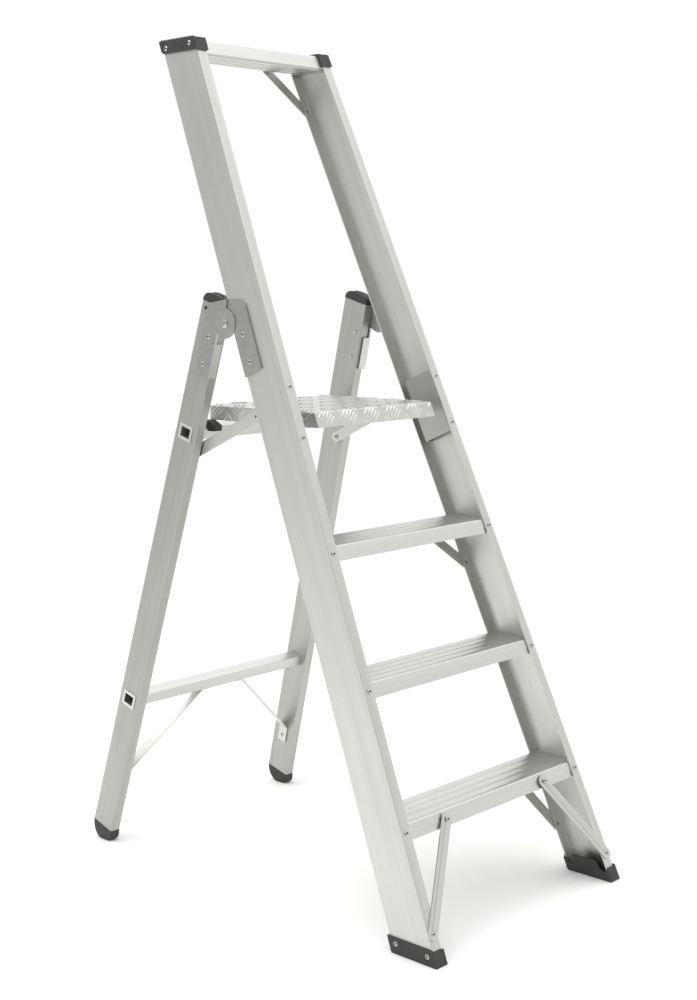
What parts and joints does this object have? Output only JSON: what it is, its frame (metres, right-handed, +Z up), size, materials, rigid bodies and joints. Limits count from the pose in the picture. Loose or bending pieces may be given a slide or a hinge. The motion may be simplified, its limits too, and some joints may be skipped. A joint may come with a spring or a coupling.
{
  "type": "step ladder",
  "caption": "Folding aluminium step ladder with flat treads, a standing platform, a top rail and a hinged rear frame.",
  "frame": {"origin": "on the ground, under the middle of the ladder's box", "axes": "+Z up, -Y towards the climbing side, X across the treads"},
  "size_m": [0.5942, 1.0306, 1.7467],
  "materials": {
    "mill_aluminium": "mill finish extrusion, fine lines along the length",
    "bright_aluminium": "bright extruded aluminium, ribbed",
    "checker_plate": "five-bar checker plate",
    "hinge_plate": "grey pressed plate",
    "rivet": "plain rivet",
    "black_plastic": "black moulded plastic, fine grain"
  },
  "bodies": {
    "front_frame": {"stile_left": "mill_aluminium", "stile_right": "mill_aluminium", "tread_1": "bright_aluminium", "tread_2": "bright_aluminium", "tread_3": "bright_aluminium", "tread_1_rivet_left": "rivet", "tread_1_rivet_right": "rivet", "tread_2_rivet_left": "rivet", "tread_2_rivet_right": "rivet", "tread_3_rivet_left": "rivet", "tread_3_rivet_right": "rivet", "top_rail": "bright_aluminium", "stile_cap_left": "black_plastic", "stile_cap_right": "black_plastic", "stile_foot_left": "black_plastic", "stile_foot_right": "black_plastic", "stile_insert_left": "mill_aluminium", "stile_insert_right": "mill_aluminium", "front_brace_left": "mill_aluminium", "front_brace_rivet_left": "rivet", "front_brace_right": "mill_aluminium", "front_brace_rivet_right": "rivet", "tread_1_brace_left": "mill_aluminium", "tread_1_brace_right": "mill_aluminium", "tread_3_brace_left": "mill_aluminium", "tread_3_brace_right": "mill_aluminium", "top_brace_left": "mill_aluminium", "top_brace_right": "mill_aluminium", "stile_hinge_plate_left": "hinge_plate", "stile_hinge_plate_right": "hinge_plate"},
    "rear_frame": {"leg_hinge_plate_left": "hinge_plate", "leg_hinge_plate_right": "hinge_plate", "hinge_rivet_left": "rivet", "hinge_rivet_right": "rivet", "leg_left": "mill_aluminium", "leg_right": "mill_aluminium", "rear_rail_upper": "mill_aluminium", "rear_rail_lower": "mill_aluminium", "leg_cap_left": "black_plastic", "leg_cap_right": "black_plastic", "leg_foot_left": "black_plastic", "leg_foot_right": "black_plastic", "rear_brace_left": "mill_aluminium", "rear_brace_right": "mill_aluminium", "rest_pad_left": "black_plastic", "rest_pad_right": "black_plastic"},
    "platform": {"platform_plate": "checker_plate", "platform_bush_left": "mill_aluminium", "platform_pivot_left": "rivet", "platform_bush_right": "mill_aluminium", "platform_pivot_right": "rivet"},
    "link_left": {"link_left": "mill_aluminium", "link_leg_rivet_left": "rivet", "link_bush_left": "mill_aluminium", "link_platform_rivet_left": "rivet"},
    "link_right": {"link_right": "mill_aluminium", "link_leg_rivet_right": "rivet", "link_bush_right": "mill_aluminium", "link_platform_rivet_right": "rivet"}
  },
  "joints": [
    {"name": "rear_frame_fold", "type": "hinge", "parent": "front_frame", "child": "rear_frame", "pos_m": [0, 0.10062, 1.163], "axis": [-1, 0, 0], "range_deg": [0, 39]},
    {"name": "platform_tilt", "type": "hinge", "parent": "front_frame", "child": "platform", "pos_m": [0, -0.06238, 0.974], "axis": [1, 0, 0], "range_deg": [0, 67.16]},
    {"name": "link_left_swing", "type": "hinge", "parent": "rear_frame", "child": "link_left", "pos_m": [0, 0.21862, 0.893], "axis": [-1, 0, 0], "range_deg": [0, 12.28]},
    {"name": "link_right_swing", "type": "hinge", "parent": "rear_frame", "child": "link_right", "pos_m": [0, 0.21862, 0.893], "axis": [-1, 0, 0], "range_deg": [0, 12.28]}
  ],
  "couplings": [
    {"joint": "platform_tilt", "follows": "rear_frame_fold", "ratio": 1.7218},
    {"joint": "link_left_swing", "follows": "rear_frame_fold", "ratio": 0.31449},
    {"joint": "link_right_swing", "follows": "rear_frame_fold", "ratio": 0.31449}
  ]
}
